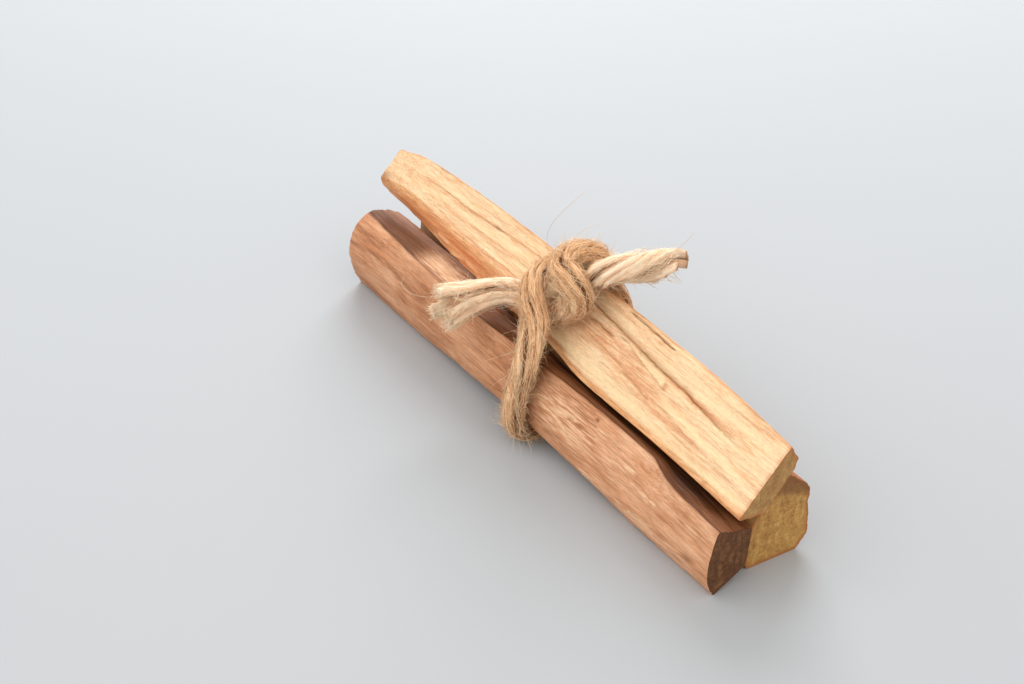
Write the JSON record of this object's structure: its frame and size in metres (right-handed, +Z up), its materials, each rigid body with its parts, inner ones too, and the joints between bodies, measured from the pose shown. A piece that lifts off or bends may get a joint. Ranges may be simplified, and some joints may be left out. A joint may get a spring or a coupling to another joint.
{
  "type": "tied bundle of palo santo sticks",
  "caption": "Split palo santo sticks laid side by side and tied round the middle with knotted jute twine, kept for burning as incense or for display.",
  "frame": {"origin": "centre of the bundle's bounding box at its base, on the surface that it lies on", "axes": "+X along the sticks towards the end where all of them are cut square, +Z up, +Y to the left as seen along +X"},
  "size_m": [0.1016, 0.0328, 0.0325],
  "materials": {
    "pale_wood": "raw split wood, pale yellow with orange-tan streaks",
    "brown_wood": "raw split wood, reddish brown with pale flecks",
    "olive_wood": "raw split wood, golden olive with a reddish edge",
    "jute_twine": "rough spun jute, tan and fibrous"
  },
  "bodies": {
    "root": {"stick_top": "pale_wood", "stick_left": "brown_wood", "stick_right": "olive_wood", "twine_tie": "jute_twine"}
  },
  "joints": []
}
